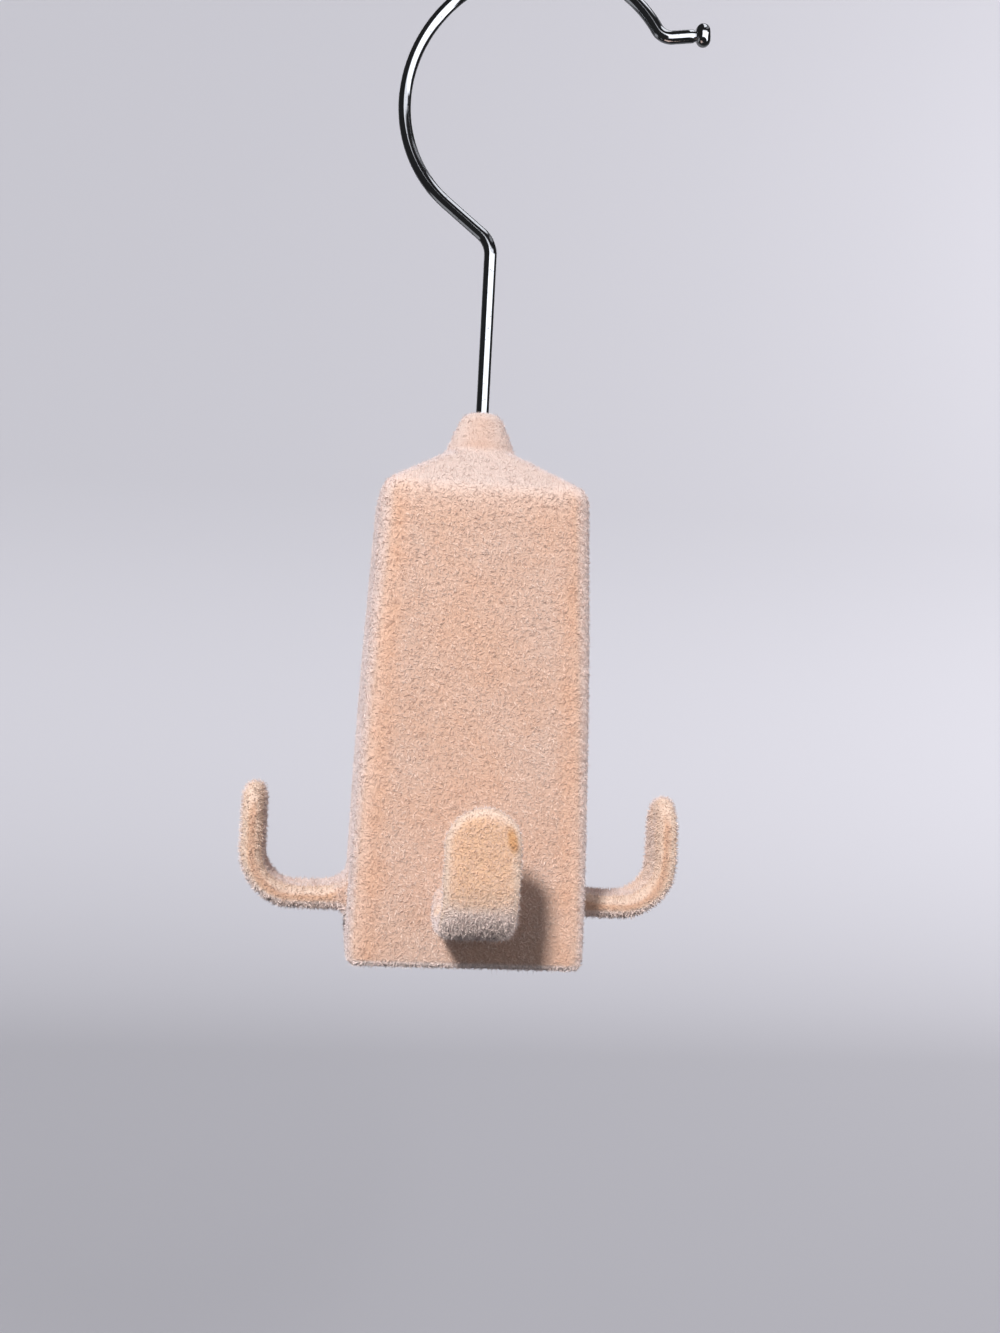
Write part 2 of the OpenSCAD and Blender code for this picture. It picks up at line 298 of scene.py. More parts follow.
# How far the surface turns away, and the painted sheen of the pillar's upright edges there
EDGE_SHEEN_COLOURS = ((0.30, srgb(212, 182, 164)), (0.54, srgb(224, 202, 193)), (0.76, srgb(224, 208, 204)))
# The most that each layer covers
COVER = {"strokes": 0.8, "clouds": 0.4, "border": 0.88, "patches": 0.38, "neck": 0.8, "rim": 0.6,
         "hook edge shade": 0.6, "hook inside bounce light": 0.7, "hook top light": 0.6, "worn": 0.75, "shade_flecks": 0.6}
# The worn mark: place about the stem and size in millimetres, and its turn in degrees
MARK_AT, MARK_SIZE, MARK_TURN = (4.5, -41.0, 25.2), (1.3, 3.0, 3.2), -14


def worn_mark(tree):
    """A small rubbed mark near the tip of the front hook, where something was slipped on and off."""
    place = tree.nodes.new("ShaderNodeTexCoord").outputs["Object"]
    local = add(tree, "ShaderNodeMapping", set_vector_type="TEXTURE", Vector=place,
                Location=tuple(to_frame([MARK_AT])[0]), Rotation=(0.0, math.radians(MARK_TURN), 0.0),
                Scale=tuple(size * MM for size in MARK_SIZE)).outputs[0]
    reach = add(tree, "ShaderNodeVectorMath", set_operation="LENGTH", i0=local).outputs["Value"]
    return ramp(tree, reach, 0.35, 1.0, 1.0, 0.0)


def edge_sheen_colour(tree, turned):
    """The painted sheen of the pillar's upright edges as they turn away from the eye."""
    stops = add(tree, "ShaderNodeValToRGB", i0=turned)
    elements = stops.color_ramp.elements
    while len(elements) < len(EDGE_SHEEN_COLOURS):
        elements.new(0.5)
    for element, (at, colour) in zip(elements, EDGE_SHEEN_COLOURS):
        element.position, element.color = at, colour
    return stops.outputs[0]


def nap_colour(tree, nap, shade, pale):
    """The nap's own tone: strokes and clouds, painted shade between the fibres, warmer along the borders."""
    clouds, strokes, patches, border = (nap.outputs[k] for k in ("Clouds", "Strokes", "Patches", "Border"))
    body = layer(tree, PEACH_DEEP, strokes, COVER["strokes"], colour=PEACH)
    body = layer(tree, body, clouds, COVER["clouds"], colour=PEACH_PALE)
    # Painted shade between the fibres: the lower the shade value, the more of the deep colour
    body = mix(tree, shade, PEACH_PAINTED_SHADE, body)
    body = layer(tree, body, pale, colour=PEACH_PALE)
    warm = maths(tree, "MAXIMUM", times(tree, border, COVER["border"]),
                 times(tree, patches, COVER["patches"]))
    return layer(tree, body, warm, ramp(tree, clouds, 0.0, 1.0, 1.0, 0.6), colour=PEACH_WARM)


def hook_colour(tree, body, nap, down):
    """The strap hooks' layers, laid over the nap: their own tone, painted shade and painted light."""
    strokes, hooks, inward = (nap.outputs[k] for k in ("Strokes", "Hooks", "Inward"))
    body = layer(tree, body, hooks, ramp(tree, strokes, 0.0, 1.0, 0.8, 0.34), colour=PEACH_STRAP)
    # Painted shade: the hooks' narrow edges are laid over with the deep colour of the gaps
    edge = ramp(tree, maths(tree, "ABSOLUTE", inward), 0.1, 0.6, COVER["hook edge shade"], 0.0)
    body = layer(tree, body, hooks, edge, colour=PEACH_PAINTED_SHADE)
    # Painted bounce light: the sides that face the stem are painted pale, as lit from the pillar
    inside = ramp(tree, inward, 0.3, 0.9, 0.0, COVER["hook inside bounce light"])
    # Painted light: the hooks' upward faces are painted pale, as lit from above
    top = ramp(tree, down, -0.2, -0.8, 0.0, COVER["hook top light"])
    return layer(tree, body, hooks, maths(tree, "MAXIMUM", inside, top), colour=PEACH_PALE)


def grazing_sheen_colour(tree, body, nap, facing):
    """The painted sheen: pale layers that show as the surface turns away from the eye."""
    border, hooks, rim = (nap.outputs[k] for k in ("Border", "Hooks", "Rim"))
    turned = maths(tree, "SQRT", facing)
    off_hooks = maths(tree, "SUBTRACT", 1.0, hooks)
    upright = times(tree, border, off_hooks)
    # Painted sheen near the pillar's corners and along the eave, where the surface starts to turn
    body = layer(tree, body, rim, off_hooks, COVER["rim"], colour=PEACH_BORDER_SHEEN)
    full = maths(tree, "MULTIPLY_ADD", hooks, -0.22, 0.85)
    # Painted sheen where the surface turns away from the eye
    graze = times(tree, ramp(tree, turned, 0.06, full), maths(tree, "SUBTRACT", 1.0, upright))
    body = layer(tree, body, graze, colour=mix(tree, hooks, PEACH_GRAZING_SHEEN, STRAP_GRAZING_SHEEN))
    # Painted sheen on the pillar's upright edges
    body = layer(tree, body, upright, ramp(tree, turned, 0.16, 0.45), colour=edge_sheen_colour(tree, turned))
    # Painted sheen at the outline, where the surface turns fully away
    return layer(tree, body, ramp(tree, turned, 0.8, 0.97), colour=PEACH_RIM_SHEEN)


def flock_colour(tree, facing, normal, shade, pale):
    """The flock's colour, from the nap and the place, with painted shade, light and sheen by how it is
    turned.
    """
    nap = add(tree, "ShaderNodeGroup", set_node_tree=NAP, Normal=normal)
    shade_flecks, hooks, inward, neck = (nap.outputs[k] for k in ("Flecks", "Hooks", "Inward", "Neck"))
    down = times(tree, add(tree, "ShaderNodeSeparateXYZ", Vector=normal).outputs[2], -1.0)
    body = nap_colour(tree, nap, shade, pale)
    body = hook_colour(tree, body, nap, down)
    # Painted shade: the neck is painted deeper
    body = layer(tree, body, neck, COVER["neck"], colour=PEACH_NECK_SHADE)
    body = grazing_sheen_colour(tree, body, nap, facing)
    # Painted sheen: the downward faces are painted paler, a little less on the hooks
    below = ramp(tree, down, 0.15, 0.6), ramp(tree, hooks, 0.0, 1.0, 1.0, 0.8)
    body = layer(tree, body, *below, colour=PEACH_BELOW_SHEEN)
    body = layer(tree, body, worn_mark(tree), COVER["worn"], colour=WORN)
    # Painted shade: dark flecks on the hooks' downward sides and the sides that face the stem
    shaded_sides = ramp(tree, maths(tree, "MAXIMUM", down, times(tree, inward, 0.65)), 0.35, 0.9)
    return layer(tree, body, shade_flecks, hooks, shaded_sides, COVER["shade_flecks"], colour=FLECK_SHADE), nap


# %% The flock materials


def flock_skin_material():
    """The moulded skin under the fibres, deeper by painted shade, because it is what shows between them."""
    material, tree, shader = new_material(
        "flocked_skin", Roughness=0.95, Specular_IOR_Level=0.1, Sheen_Weight=0.2, Sheen_Roughness=0.5,
        Sheen_Tint=srgb(255, 244, 238))
    facing = add(tree, "ShaderNodeLayerWeight", Blend=0.5).outputs["Facing"]
    normal = tree.nodes.new("ShaderNodeTexCoord").outputs["Normal"]
    colour, nap = flock_colour(tree, facing, normal, 0.4, 0.0)
    tree.links.new(colour, shader.inputs["Base Color"])
    bumps = maths(tree, "ADD", nap.outputs["Strokes"], nap.outputs["Specks"])
    bump = add(tree, "ShaderNodeBump", Strength=0.6, Distance=0.12 * MM, Height=bumps)
    tree.links.new(bump.outputs[0], shader.inputs["Normal"])
    return material


def flock_fibre_material():
    """The fibres, which take their colour at the root and are paler, or deeper by painted shade, by their own
    tone.
    """
    material, tree, shader = new_material(
        "flock_fibres", Roughness=0.8, Specular_IOR_Level=0.2, Sheen_Weight=0.15, Sheen_Roughness=0.6,
        Sheen_Tint=srgb(255, 246, 240))
    root_normal = add(tree, "ShaderNodeAttribute", set_attribute_name="root_normal").outputs["Vector"]
    world_normal = add(tree, "ShaderNodeVectorTransform", set_vector_type="NORMAL", set_convert_from="OBJECT",
                       set_convert_to="WORLD", Vector=root_normal).outputs[0]
    facing = add(tree, "ShaderNodeLayerWeight", Blend=0.5, Normal=world_normal).outputs["Facing"]
    tone = add(tree, "ShaderNodeAttribute", set_attribute_name="tone").outputs["Fac"]
    shade, pale = ramp(tree, tone, 0.0, 0.6, 0.35, 1.0), ramp(tree, tone, 0.55, 1.0, 0.0, 0.4)
    colour, _ = flock_colour(tree, facing, root_normal, shade, pale)
    tree.links.new(colour, shader.inputs["Base Color"])
    return material


SKIN = flock_skin_material()
FIBRE = flock_fibre_material()

# %% [markdown]
# The pillar is lofted: rings of points at rising heights, each a square with rounded corners,
# are joined by faces. Rings share one list of angles, crowded at the corners, so that the roof
# can pass from a square to the round neck without a seam. Where roof and neck meet, each point
# takes the larger of the two radii, eased a little, which gives the soft valley of the real one.
# The skin is set in by the depth of the pile, so that the fibres' tips end at the real size.

# %% Rings of the pillar
FLAT_STEPS, CORNER_STEPS, CORNER_SPAN = 16, 10, 5.0
# Rings in each stretch, from the foot up
FOOT_RINGS, SIDE_RINGS, EAVE_RINGS, ROOF_RINGS, VALLEY_RINGS, NECK_RINGS, DOME_RINGS = 7, 43, 10, 12, 9, 9, 9
SHARP_R, VALLEY_DROP, VALLEY_LIFT, VALLEY_EASE = 0.4, 2.0, 0.35, 0.9
BORE_CHAMFER_R, BORE_CHAMFER_Z = 0.2, 0.35
quarter = ([-45 + CORNER_SPAN + i * (90 - 2 * CORNER_SPAN) / FLAT_STEPS for i in range(FLAT_STEPS)]
           + [45 - CORNER_SPAN + i * 2 * CORNER_SPAN / CORNER_STEPS for i in range(CORNER_STEPS)])
ANGLES = np.radians([a + 90 * face for face in range(4) for a in quarter])


def square_reach(half, corner):
    """Distance from the axis to a rounded square, at each of the angles."""
    off = np.abs((ANGLES + math.pi / 4) % (math.pi / 2) - math.pi / 4)
    flat = half / np.cos(off)
    inner = half - corner
    along = inner * (np.cos(off) + np.sin(off))
    root = np.maximum(along ** 2 - 2 * inner ** 2 + corner ** 2, 0)
    return np.where(np.tan(off) * half <= inner, flat, along + np.sqrt(root))


def soft_max(a, b, width):
    """The larger of two values, with the crease between them eased over a width."""
    gap = np.clip(1 - np.abs(a - b) / width, 0, None)
    return np.maximum(a, b) + width * gap ** 2 / 4


def neck_lean():
    """Lean of the neck's flank, a straight line from the flare that just touches the rounded top."""
    out, drop = NECK_FOOT_R - (NECK_TOP_R - NECK_ROUND), NECK_TOP_Z - NECK_ROUND - NECK_FOOT_Z
    return math.acos(NECK_ROUND / math.hypot(out, drop)) - math.atan2(drop, out)


def neck_reach(z):
    """Radius of the neck at a height from the flare to the start of the rounded top."""
    lean = neck_lean()
    centre_r = NECK_FOOT_R + FLARE_R * math.cos(lean)
    centre_z = NECK_FOOT_Z + FLARE_R * math.sin(lean)
    low_z = centre_z - FLARE_R * math.cos(ROOF_ANGLE)
    if z < low_z:
        return centre_r - FLARE_R * math.sin(ROOF_ANGLE) + (low_z - z) / math.tan(ROOF_ANGLE)
    if z < NECK_FOOT_Z:
        return centre_r - math.sqrt(FLARE_R ** 2 - (centre_z - z) ** 2)
    return NECK_FOOT_R - (z - NECK_FOOT_Z) * math.tan(lean)


def pillar_rings():
    """Rings of the outside from the foot to the neck's bore, as (height, reach at each angle)."""
    ball_z = EAVE_Z - EDGE_R * (1 - math.sin(ROOF_ANGLE)) / math.cos(ROOF_ANGLE)
    rings = []
    for t in np.linspace(0, 90, FOOT_RINGS):
        s, c = math.sin(math.radians(t)), math.cos(math.radians(t))
        half = BASE_HALF - FOOT_R + (FOOT_R - PILE) * s
        rings.append((FOOT_R - (FOOT_R - PILE) * c, square_reach(half, FOOT_R * s + SHARP_R)))
    for t in np.linspace(0, 1, SIDE_RINGS)[1:-1]:
        half = BASE_HALF + (EAVE_HALF - BASE_HALF) * t - PILE + BULGE * math.sin(math.pi * t)
        rings.append((FOOT_R + (ball_z - FOOT_R) * t, square_reach(half, FOOT_R + (EDGE_R - FOOT_R) * t)))
    for t in np.linspace(0, 90 - ROOF_DEGREES, EAVE_RINGS):
        s, c = math.sin(math.radians(t)), math.cos(math.radians(t))
        half = EAVE_HALF - EDGE_R + (EDGE_R - PILE) * c
        rings.append((ball_z + (EDGE_R - PILE) * s, square_reach(half, max(EDGE_R * c, 0.5))))
    roof_z, roof_half = rings[-1][0], EAVE_HALF - EDGE_R + (EDGE_R - PILE) * math.sin(ROOF_ANGLE)
    roof_corner = EDGE_R * math.sin(ROOF_ANGLE)
    valley_z = NECK_FOOT_Z - VALLEY_DROP
    disc_r = NECK_FOOT_R - EDGE_R / 2
    top_z = roof_z + (roof_half - disc_r) * math.tan(ROOF_ANGLE)
    roof_levels = np.linspace(roof_z, valley_z, ROOF_RINGS)[1:]
    for z in np.concatenate([roof_levels, np.linspace(valley_z, top_z, VALLEY_RINGS)[1:]]):
        t = (z - roof_z) / (top_z - roof_z)
        roof = square_reach(roof_half + (disc_r - roof_half) * t, roof_corner + (disc_r - roof_corner) * t)
        rings.append((z, soft_max(roof, neck_reach(z + VALLEY_LIFT) - PILE, VALLEY_EASE)))
    lean, dome_z = neck_lean(), NECK_TOP_Z - NECK_ROUND
    last = dome_z + (NECK_ROUND - PILE) * math.sin(lean)
    for z in np.linspace(top_z, last, NECK_RINGS)[1:-1]:
        rings.append((z, np.full(len(ANGLES), neck_reach(z) - PILE / math.cos(lean))))
    for t in np.linspace(math.degrees(lean), 80, DOME_RINGS):
        s, c = math.sin(math.radians(t)), math.cos(math.radians(t))
        rings.append((dome_z + (NECK_ROUND - PILE) * s,
                      np.full(len(ANGLES), NECK_TOP_R - NECK_ROUND + (NECK_ROUND - PILE) * c)))
    rings.append((NECK_TOP_Z - PILE, np.full(len(ANGLES), BORE_R + BORE_CHAMFER_R)))
    rings.append((NECK_TOP_Z - PILE - BORE_CHAMFER_Z, np.full(len(ANGLES), BORE_R)))
    return rings


# The boss's root, the inner eave and the height where the inner walls turn in, seldom seen
BOSS_ROOT_Z, INNER_EAVE_Z, INNER_WALL_Z, INNER_SLOPE, INNER_CORNER_R = 92.0, 83.0, 81.5, 0.6, 0.9


def inner_rings():
    """Rings of the inside, from the bottom of the bore round the boss and down to the mouth."""
    boss = [(BOSS_Z, BORE_R), (BOSS_Z, BOSS_R), (BOSS_ROOT_Z, BOSS_R)]
    rings = [(z, np.full(len(ANGLES), r)) for z, r in boss]
    for z, half in ((BOSS_ROOT_Z - 0.1, BOSS_R + 0.8), (INNER_EAVE_Z, EAVE_HALF - WALL - INNER_SLOPE),
                    (INNER_WALL_Z, EAVE_HALF - WALL), (CAP_T, BASE_HALF - WALL), (PILE, BASE_HALF - WALL)):
        rings.append((z, square_reach(half, INNER_CORNER_R)))
    return rings


# %% [markdown]
# A moulding that cooled in its tool is never dead flat. A slow noise moves the skin by less than
# a tenth of a millimetre, which is enough to break up the light on the four broad faces.

# %% Join the rings
WAVE, WAVE_SCALE, BORE_ROWS = 0.07, 0.09, 3
ZONES = ("right", "rear", "left", "front", "roof", "inside")


def loft(rings):
    """The points of a run of rings, each a height and a reach at each angle."""
    return np.array([(r * math.cos(a), r * math.sin(a), z)
                     for z, reach in rings for a, r in zip(ANGLES, reach)])


def bands(rows, count, closed=False):
    """Faces that join each round of points to the next, and the last to the first if it is closed."""
    steps = [(k, (k + 1) % count) for k in range(count)]
    pairs = [(i * count, (i + 1) % rows * count) for i in range(rows if closed else rows - 1)]
    return [(i + k, i + m, j + m, j + k) for i, j in pairs for k, m in steps]


def zone(row, k):
    """The part of the pillar that a face belongs to."""
    if row >= bore_row:
        return "inside"
    if row >= eave_row:
        return "roof"
    return ZONES[int(k // (len(ANGLES) / 4))]


outer = pillar_rings()
rings = outer + inner_rings()
points, faces = loft(rings), bands(len(rings), len(ANGLES), closed=True)
bore_row = len(outer) - BORE_ROWS
for p in points[:bore_row * len(ANGLES)]:
    push = WAVE * noise.noise(Vector(p) * WAVE_SCALE)
    outward = Vector((p[0], p[1], 0)).normalized()
    p[0] += outward.x * push
    p[1] += outward.y * push
pillar_skin = new_mesh("pillar_skin", points, faces)
eave_row = next(i for i, (z, _) in enumerate(outer) if z > EAVE_Z - 0.1)
zone_of = [zone(row, k) for row in range(len(rings)) for k in range(len(ANGLES))]
print("pillar_skin", len(points), "points", len(faces), "faces")

# %% [markdown]
# A strap hook is a flat strap bent into a J. Its section, a slim rectangle with rounded edges, is
# carried along the path: out of the pillar's face, round the bend and up. Near the face the strap
# thickens into a fillet above and below. The tip is the same section turned about the tip's
# centre, which closes the strap with an even round rim.

# %% The strap hooks
REACH, STRAP_W, STRAP_T = 41.0, 13.2, 4.6
WALL_X, TANG_IN, BEND_LEAD = 20.9, 0.9, 1.5
HOOK_TIP_Z, HOOK_LOW_Z, HOOK_BEND_R = 30.5, 7.3, 10.6
ROOT_TOP_R, ROOT_TOP_RISE, ROOT_LOW_R, ROOT_LOW_DROP = 6.4, 3.5, 2.6, 2.1
PILLOW_W, PILLOW_FLAT = 2.5, 0.1
FACE_TURN = {"right_hook": 0, "rear_hook": 90, "left_hook": 180, "front_hook": 270}


def half_section(half_t, half_w, steps=10):
    """One side of the strap's pillow-edged section, from mid outer face to mid inner face."""
    edge_t = min(half_t, STRAP_T / 2 - PILE) - PILLOW_FLAT
    side = [(half_t, f * (half_w - PILLOW_W)) for f in (0, 0.25, 0.5, 0.75)]
    for a in np.radians(np.linspace(0, 90, steps)):
        side.append((half_t - edge_t + edge_t * math.cos(a), half_w - PILLOW_W + PILLOW_W * math.sin(a)))
    back = [(-t, w) for t, w in reversed(side)]
    return side + back


def fillet(off, run, height):
    """Height of an elliptical fillet at a distance from the pillar's face."""
    left = max(1 - off / run, 0.0)
    return height * (1 - math.sqrt(1 - left ** 2))


def strap_path():
    """Centres along the strap: (x, z, direction of the outer face, half thickness)."""
    half = STRAP_T / 2 - PILE
    wall_x = WALL_X - PILE
    bend_x, bend_z, bend_r = REACH - HOOK_BEND_R, HOOK_LOW_Z + HOOK_BEND_R, HOOK_BEND_R - STRAP_T / 2
    middle_z = HOOK_LOW_Z + STRAP_T / 2
    path = []
    root = np.linspace(wall_x, wall_x + ROOT_TOP_R, 9)
    for x in np.concatenate([[wall_x - TANG_IN], root, [bend_x - BEND_LEAD]]):
        off = max(x - wall_x, 0.0)
        rise = fillet(off, ROOT_TOP_R, ROOT_TOP_RISE)
        drop = fillet(off, ROOT_LOW_R, ROOT_LOW_DROP)
        path.append((x, middle_z + (rise - drop) / 2, -math.pi / 2, half + (rise + drop) / 2))
    for a in np.radians(np.linspace(-90, 0, 19)):
        path.append((bend_x + bend_r * math.cos(a), bend_z + bend_r * math.sin(a), a, half))
    for z in np.linspace(bend_z, HOOK_TIP_Z - STRAP_W / 2, 5)[1:]:
        path.append((REACH - STRAP_T / 2, z, 0.0, half))
    return path


def strap_hook():
    """Points and faces of one hook on the side given by +X."""
    half_w = STRAP_W / 2 - PILE
    points = []
    for x, z, angle, half_t in strap_path():
        half = half_section(half_t, half_w)
        ring = half + [(t, -w) for t, w in reversed(half[1:-1])]
        count = len(ring)
        for t, w in ring:
            points.append((x + t * math.cos(angle), w, z + t * math.sin(angle)))
    rows = len(points) // count
    faces = bands(rows, count) + [tuple(reversed(range(count)))]
    half = half_section(STRAP_T / 2 - PILE, half_w)
    last, size, steps = (rows - 1) * count, len(half), 16
    tip_x, tip_z = REACH - STRAP_T / 2, HOOK_TIP_Z - STRAP_W / 2

    def at(step, k):
        if k in (0, size - 1) or step == 0:
            return last + k
        if step == steps:
            return last + (count - k) % count
        return first + (step - 1) * (size - 2) + k - 1

    first = len(points)
    for step in range(1, steps):
        a = math.pi * step / steps
        for t, w in half[1:-1]:
            points.append((tip_x + t, w * math.cos(a), tip_z + w * math.sin(a)))
    for step in range(steps):
        for k in range(size - 1):
            quad = [at(step, k), at(step, k + 1), at(step + 1, k + 1), at(step + 1, k)]
            faces.append(tuple(dict.fromkeys(quad)))
    return np.array(points), faces


def turned(points, degrees):
    """Points turned about the stem."""
    c, s = math.cos(math.radians(degrees)), math.sin(math.radians(degrees))
    return points @ np.array([[c, s, 0], [-s, c, 0], [0, 0, 1]])


# The strap hooks' flock lies less evenly than the pillar's. The noise is seeded, as it must be
# the same in every run.
UNEVEN, UNEVEN_SCALE, NOISE_SEED = 0.2, 0.3, 5


def uneven(points):
    """Points moved a little by a slow noise."""
    return np.array([p + UNEVEN * np.array(noise.noise_vector(Vector(p) * UNEVEN_SCALE)) for p in points])


noise.seed_set(NOISE_SEED)
hook_points, hook_faces = strap_hook()
hook_skins = {}
for node, degrees in FACE_TURN.items():
    hook_skins[node] = new_mesh(node + "_skin", uneven(turned(hook_points, degrees)), hook_faces)
print("hook skins", len(hook_points), "points", len(hook_faces), "faces each")

# %% [markdown]
# The underside is closed by a flocked plate, seen only from below. It is a slim tray of its own,
# so it stays a separate piece here too.

# %% The plate under the pillar
PLATE_GAP, PLATE_EDGE = 0.12, 0.3


def foot_plate():
    """A closed plate with softened edges that fills the mouth of the pillar."""
    half = BASE_HALF - WALL - PLATE_GAP
    rings = [(PILE, square_reach(half - PLATE_EDGE, 0.7)), (PILE + PLATE_EDGE, square_reach(half, 0.8)),
             (CAP_T, square_reach(half, 0.8))]
    count, last = len(ANGLES), (len(rings) - 1) * len(ANGLES)
    points = np.vstack([loft(rings), [(0, 0, PILE), (0, 0, CAP_T)]])
    faces = bands(len(rings), count)
    low, high = len(points) - 2, len(points) - 1
    for k in range(count):
        m = (k + 1) % count
        faces += [(low, m, k), (high, last + k, last + m)]
    return points, faces


plate_points, plate_faces = foot_plate()
plate_skin = new_mesh("foot_plate_skin", plate_points, plate_faces)

# %% [markdown]
# The fibres are grown by Geometry Nodes. A close look shows three kinds: a dense undercoat that
# stands almost upright, pale fibres that lie over it like short strokes of a brush, and a few long
# strays that catch the light along the outline. One tree plants one kind: it scatters points,
# stands a slim three-sided needle on each and leans it along the surface, in a direction that a
# noise changes every millimetre or so. A second tree plants all three kinds, makes the needles real
# and gives them their material. Each needle keeps its root's normal and a tone for the material.

# %% A tree that plants one kind of fibre
# The shortest and longest share of the full length, also used for the lean
SHARE = (0.55, 1.0)
SUNK, TOUSLE = 0.04 * MM, 0.15


def value_socket(node):
    """The socket of a Store Named Attribute node that is in use for its data type."""
    return next(s for s in node.inputs if s.name == "Value" and s.enabled)


def draw(tree, seed, shift, low, high):
    """A random number for each fibre, from its own stream of the seed."""
    return add(tree, "FunctionNodeRandomValue", set_data_type="FLOAT", i2=low, i3=high,
               Seed=maths(tree, "ADD", seed, shift)).outputs[1]


def lean_direction(tree, value, normal):
    """The way each fibre points: its normal, pushed along the surface as the nap is combed."""
    place = tree.nodes.new("GeometryNodeInputPosition").outputs[0]
    comb = add(tree, "ShaderNodeTexNoise", Vector=place, Scale=value["Comb Scale"], Detail=1.0,
               Distortion=0.8)
    combed = add(tree, "ShaderNodeVectorMath", set_operation="SUBTRACT", i0=comb.outputs["Color"],
                 i1=(0.5, 0.5, 0.5)).outputs[0]
    stray = add(tree, "FunctionNodeRandomValue", set_data_type="FLOAT_VECTOR", i0=(-TOUSLE,) * 3,
                i1=(TOUSLE,) * 3, Seed=value["Seed"]).outputs[0]
    both = add(tree, "ShaderNodeVectorMath", set_operation="ADD", i0=combed, i1=stray).outputs[0]
    across = add(tree, "ShaderNodeVectorMath", set_operation="CROSS_PRODUCT", i0=normal, i1=both).outputs[0]
    along = add(tree, "ShaderNodeVectorMath", set_operation="NORMALIZE", i0=across).outputs[0]
    lean = times(tree, value["Lean"], draw(tree, value["Seed"], 29.0, *SHARE))
    leaning = add(tree, "ShaderNodeVectorMath", set_operation="SCALE", i0=along, Scale=lean).outputs[0]
    return add(tree, "ShaderNodeVectorMath", set_operation="ADD", i0=normal, i1=leaning).outputs[0]


def plant_tree():
    """A tree that plants one kind of fibre on a surface, as instances with a tone and a root normal."""
    inputs = [("Geometry", "Geometry")]
    inputs += [(name, "Float", given) for name, given in (
        ("Density", 1e7), ("Length", 0.4 * MM), ("Width", 0.09 * MM), ("Lean", 0.5),
        ("Comb Scale", 900.0), ("Tone From", 0.0), ("Tone To", 1.0))]
    inputs.append(("Seed", "Int", 1))
    tree, start, end = new_group("plant_fibres", "Geometry", inputs, [("Geometry", "Geometry")])
    value = {socket.name: socket for socket in start.outputs if socket.name}
    scatter = add(tree, "GeometryNodeDistributePointsOnFaces", Mesh=value["Geometry"],
                  Density=value["Density"], Seed=value["Seed"])
    normal = scatter.outputs["Normal"]
    needle = add(tree, "GeometryNodeMeshCone", set_fill_type="NGON", Vertices=3, Radius_Top=0.0,
                 Radius_Bottom=times(tree, value["Width"], 0.5), Depth=value["Length"])
    sunk = add(tree, "GeometryNodeTransform", Geometry=needle.outputs["Mesh"], Translation=(0.0, 0.0, -SUNK))
    aim = add(tree, "FunctionNodeAlignRotationToVector", set_axis="Z",
              Vector=lean_direction(tree, value, normal))
    size = add(tree, "ShaderNodeCombineXYZ", X=1.0, Y=1.0, Z=draw(tree, value["Seed"], 7.0, *SHARE))
    needles = add(tree, "GeometryNodeInstanceOnPoints", Points=scatter.outputs["Points"],
                  Instance=sunk.outputs[0], Rotation=aim.outputs[0], Scale=size.outputs[0])
    toned = add(tree, "GeometryNodeStoreNamedAttribute", set_data_type="FLOAT", set_domain="INSTANCE",
                Geometry=needles.outputs[0], Name="tone")
    tone = draw(tree, value["Seed"], 13.0, value["Tone From"], value["Tone To"])
    tree.links.new(tone, value_socket(toned))
    rooted = add(tree, "GeometryNodeStoreNamedAttribute", set_data_type="FLOAT_VECTOR", set_domain="INSTANCE",
                 Geometry=toned.outputs[0], Name="root_normal")
    tree.links.new(normal, value_socket(rooted))
    tree.links.new(rooted.outputs[0], end.inputs[0])
    return tree


PLANT = plant_tree()

# %% A tree that plants all three kinds
# Name, fibres to the square metre, length, width, lean, comb scale, tone from, tone to
KINDS = (("Undercoat", 8.7e6, 0.42 * MM, 0.10 * MM, 0.55, 900.0, 0.0, 0.6),
         ("Strokes", 3.6e6, 1.00 * MM, 0.20 * MM, 2.3, 900.0, 0.45, 1.0),
         ("Strays", 4.0e5, 1.25 * MM, 0.08 * MM, 0.55, 500.0, 0.8, 1.0))
SIZES = ("Density", "Length", "Width", "Lean")


def flock_tree():
    """A tree that plants every kind of fibre on a surface, as real faces with their material."""
    inputs = [("Geometry", "Geometry")]
    for kind, *given in KINDS:
        inputs += [(f"{kind} {size}", "Float", amount) for size, amount in zip(SIZES, given)]
    inputs += [("Seed", "Int", 1), ("Material", "Material")]
    tree, start, end = new_group("grow_flock", "Geometry", inputs, [("Geometry", "Geometry")])
    value = {socket.name: socket for socket in start.outputs if socket.name}
    joined = tree.nodes.new("GeometryNodeJoinGeometry")
    for k, (kind, *_, comb, tone_from, tone_to) in enumerate(KINDS):
        sizes = {size: value[f"{kind} {size}"] for size in SIZES}
        planted = add(tree, "GeometryNodeGroup", set_node_tree=PLANT, Geometry=value["Geometry"],
                      Comb_Scale=comb, Tone_From=tone_from, Tone_To=tone_to,
                      Seed=maths(tree, "ADD", value["Seed"], 100.0 * k), **sizes)
        tree.links.new(planted.outputs[0], joined.inputs[0])
    real = add(tree, "GeometryNodeRealizeInstances", Geometry=joined.outputs[0])
    dressed = add(tree, "GeometryNodeSetMaterial", Geometry=real.outputs[0], Material=value["Material"])
    tree.links.new(dressed.outputs[0], end.inputs[0])
    return tree


FLOCK = flock_tree()

# %% [markdown]
# A tree works as a modifier, but the finished piece has to be a plain mesh. So the tree is run on
# a source object, its result is copied, and the modifier is taken off again.

# %% Run a tree on an object


